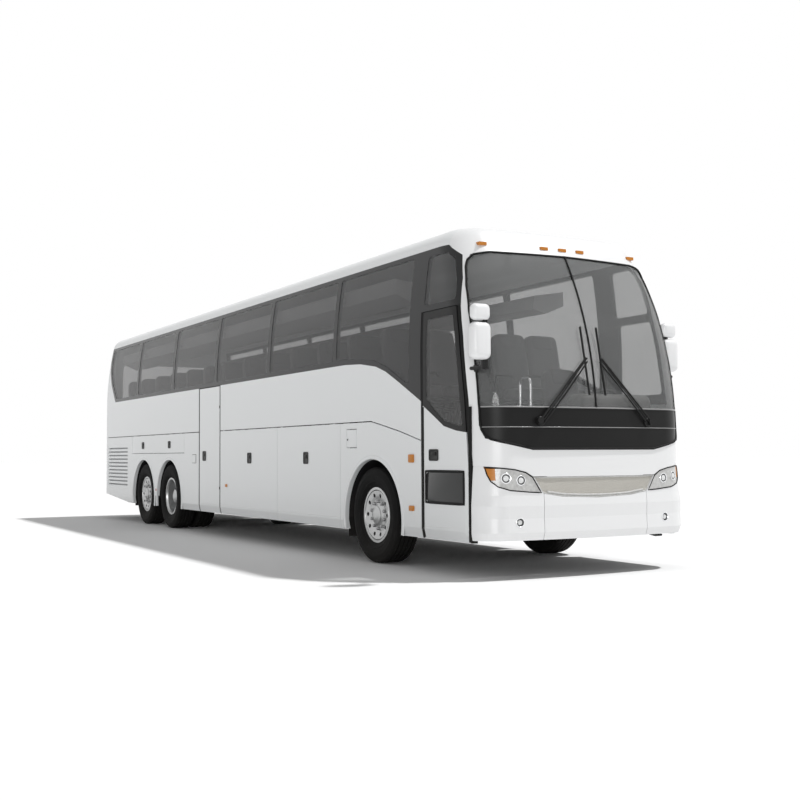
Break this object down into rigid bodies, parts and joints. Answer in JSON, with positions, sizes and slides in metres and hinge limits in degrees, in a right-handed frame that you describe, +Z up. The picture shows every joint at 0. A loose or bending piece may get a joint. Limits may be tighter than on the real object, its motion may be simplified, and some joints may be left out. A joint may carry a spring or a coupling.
{
  "type": "three-axle coach bus",
  "caption": "White three-axle touring coach with dark glazing, opening doors and luggage covers, steered front wheels and rolling axles.",
  "frame": {"origin": "on the ground under the middle of the body", "axes": "+X forward along the coach, +Y to its left, +Z up"},
  "size_m": [13.737, 2.96, 3.5034],
  "materials": {
    "white_paint": "gloss",
    "black_gloss": "gloss",
    "black_satin": "satin",
    "tinted_glass": "clear",
    "tyre": "matte",
    "polished_rim": "polished",
    "rubber": "matte",
    "steel": "satin",
    "cast": "rough",
    "amber": "gloss",
    "red": "gloss",
    "clear_lens": "clear",
    "mesh": "satin",
    "floor": "matte",
    "seat_fabric": "woven",
    "trim_grey": "matte",
    "bright_tube": "polished"
  },
  "bodies": {
    "body": {"window_bands": "black_gloss", "cabin_glass": "tinted_glass", "upper_panels": "white_paint", "roof": "white_paint", "front_cap": "white_paint", "windshield": "tinted_glass", "windscreen_apron": "black_gloss", "front_bumper": "white_paint", "headlamps": "clear_lens", "front_grille": "mesh", "rear_cap": "white_paint", "tail_lamps": "red", "rear_bumper": "white_paint", "rear_wheel_panels": "white_paint", "front_wheel_panels": "white_paint", "side_louvres": "white_paint", "door_seals": "rubber", "axles": "cast", "air_springs": "rubber", "chassis_frame": "steel", "engine_block": "cast", "floor_deck": "floor", "wheel_housings": "black_satin", "seats": "seat_fabric", "dashboard": "trim_grey", "parcel_racks": "trim_grey", "handrails": "bright_tube", "amber_lamps": "amber", "mirrors": "white_paint", "wipers": "black_satin"},
    "knuckle_right": {"knuckle_right": "cast"},
    "wheel_front_right": {"tyre_front_right": "tyre", "rim_front_right": "polished_rim"},
    "wheel_drive_right": {"tyre_drive_right": "tyre", "rim_drive_right": "polished_rim"},
    "wheel_tag_right": {"tyre_tag_right": "tyre", "rim_tag_right": "polished_rim"},
    "knuckle_left": {"knuckle_left": "cast"},
    "wheel_front_left": {"tyre_front_left": "tyre", "rim_front_left": "polished_rim"},
    "wheel_drive_left": {"tyre_drive_left": "tyre", "rim_drive_left": "polished_rim"},
    "wheel_tag_left": {"tyre_tag_left": "tyre", "rim_tag_left": "polished_rim"},
    "steering_wheel": {"steering_wheel": "black_satin"},
    "entrance_door": {"entrance_door": "white_paint", "entrance_door_frame": "black_gloss", "entrance_glass": "tinted_glass"},
    "lift_door": {"lift_door": "white_paint"},
    "luggage_door_right_rear": {"luggage_door_right_rear": "white_paint"},
    "luggage_door_right_front": {"luggage_door_right_front": "white_paint"},
    "luggage_door_left_rear": {"luggage_door_left_rear": "white_paint"},
    "luggage_door_left_front": {"luggage_door_left_front": "white_paint"},
    "wheel_flap_right": {"wheel_flap_right": "white_paint"},
    "wheel_flap_left": {"wheel_flap_left": "white_paint"},
    "engine_door": {"engine_door": "white_paint"},
    "roof_hatch_front": {"roof_hatch_front": "white_paint"},
    "roof_hatch_rear": {"roof_hatch_rear": "white_paint"},
    "fuel_door": {"fuel_door": "white_paint"}
  },
  "joints": [
    {"name": "steer_right", "type": "hinge", "parent": "body", "child": "knuckle_right", "pos_m": [4.528, -0.93, 0.53], "axis": [0, 0, 1], "range_deg": [-36, 36]},
    {"name": "steer_left", "type": "hinge", "parent": "body", "child": "knuckle_left", "pos_m": [4.528, 0.93, 0.53], "axis": [0, 0, 1], "range_deg": [-36, 36]},
    {"name": "steering_wheel_turn", "type": "hinge", "parent": "body", "child": "steering_wheel", "pos_m": [6.028, 0.64, 1.77], "axis": [-0.42, 0, 0.9075], "range_deg": [-540, 540]},
    {"name": "wheel_front_right_spin", "type": "hinge", "parent": "knuckle_right", "child": "wheel_front_right", "pos_m": [4.528, -1.113, 0.53], "axis": [0, 1, 0], "continuous": true},
    {"name": "wheel_drive_right_spin", "type": "hinge", "parent": "body", "child": "wheel_drive_right", "pos_m": [-2.747, -1.113, 0.53], "axis": [0, 1, 0], "continuous": true},
    {"name": "wheel_tag_right_spin", "type": "hinge", "parent": "body", "child": "wheel_tag_right", "pos_m": [-4.132, -1.113, 0.53], "axis": [0, 1, 0], "continuous": true},
    {"name": "wheel_front_left_spin", "type": "hinge", "parent": "knuckle_left", "child": "wheel_front_left", "pos_m": [4.528, 1.113, 0.53], "axis": [0, 1, 0], "continuous": true},
    {"name": "wheel_drive_left_spin", "type": "hinge", "parent": "body", "child": "wheel_drive_left", "pos_m": [-2.747, 1.113, 0.53], "axis": [0, 1, 0], "continuous": true},
    {"name": "wheel_tag_left_spin", "type": "hinge", "parent": "body", "child": "wheel_tag_left", "pos_m": [-4.132, 1.113, 0.53], "axis": [0, 1, 0], "continuous": true},
    {"name": "luggage_door_right_rear_hinge", "type": "hinge", "parent": "body", "child": "luggage_door_right_rear", "pos_m": [0.8, -1.295, 1.565], "axis": [-1, 0, 0], "range_deg": [0, 90]},
    {"name": "luggage_door_right_front_hinge", "type": "hinge", "parent": "body", "child": "luggage_door_right_front", "pos_m": [2.82, -1.295, 1.565], "axis": [-1, 0, 0], "range_deg": [0, 90]},
    {"name": "luggage_door_left_rear_hinge", "type": "hinge", "parent": "body", "child": "luggage_door_left_rear", "pos_m": [0.8, 1.295, 1.565], "axis": [1, 0, 0], "range_deg": [0, 90]},
    {"name": "luggage_door_left_front_hinge", "type": "hinge", "parent": "body", "child": "luggage_door_left_front", "pos_m": [2.82, 1.295, 1.565], "axis": [1, 0, 0], "range_deg": [0, 90]},
    {"name": "wheel_flap_right_hinge", "type": "hinge", "parent": "body", "child": "wheel_flap_right", "pos_m": [-3.375, -1.295, 1.565], "axis": [-1, 0, 0], "range_deg": [0, 90]},
    {"name": "wheel_flap_left_hinge", "type": "hinge", "parent": "body", "child": "wheel_flap_left", "pos_m": [-3.375, 1.295, 1.565], "axis": [1, 0, 0], "range_deg": [0, 90]},
    {"name": "lift_door_hinge", "type": "hinge", "parent": "body", "child": "lift_door", "pos_m": [-0.284, -1.295, 1.28], "axis": [0, 0, 1], "range_deg": [0, 90]},
    {"name": "entrance_door_hinge", "type": "hinge", "parent": "body", "child": "entrance_door", "pos_m": [6.499, -1.2815, 1.3], "axis": [0, 0, 1], "range_deg": [0, 85]},
    {"name": "fuel_door_hinge", "type": "hinge", "parent": "body", "child": "fuel_door", "pos_m": [4.172, -1.295, 1.3825], "axis": [0, 0, 1], "range_deg": [0, 100]},
    {"name": "engine_door_hinge", "type": "hinge", "parent": "body", "child": "engine_door", "pos_m": [-6.858, 0, 1.956], "axis": [0, 1, 0], "range_deg": [0, 80]},
    {"name": "roof_hatch_front_hinge", "type": "hinge", "parent": "body", "child": "roof_hatch_front", "pos_m": [3.296, 0, 3.5], "axis": [0, 1, 0], "range_deg": [0, 60]},
    {"name": "roof_hatch_rear_hinge", "type": "hinge", "parent": "body", "child": "roof_hatch_rear", "pos_m": [-3.004, 0, 3.5], "axis": [0, 1, 0], "range_deg": [0, 60]}
  ],
  "couplings": [
    {"joint": "steer_left", "follows": "steer_right", "ratio": 1},
    {"joint": "steering_wheel_turn", "follows": "steer_right", "ratio": 15}
  ]
}
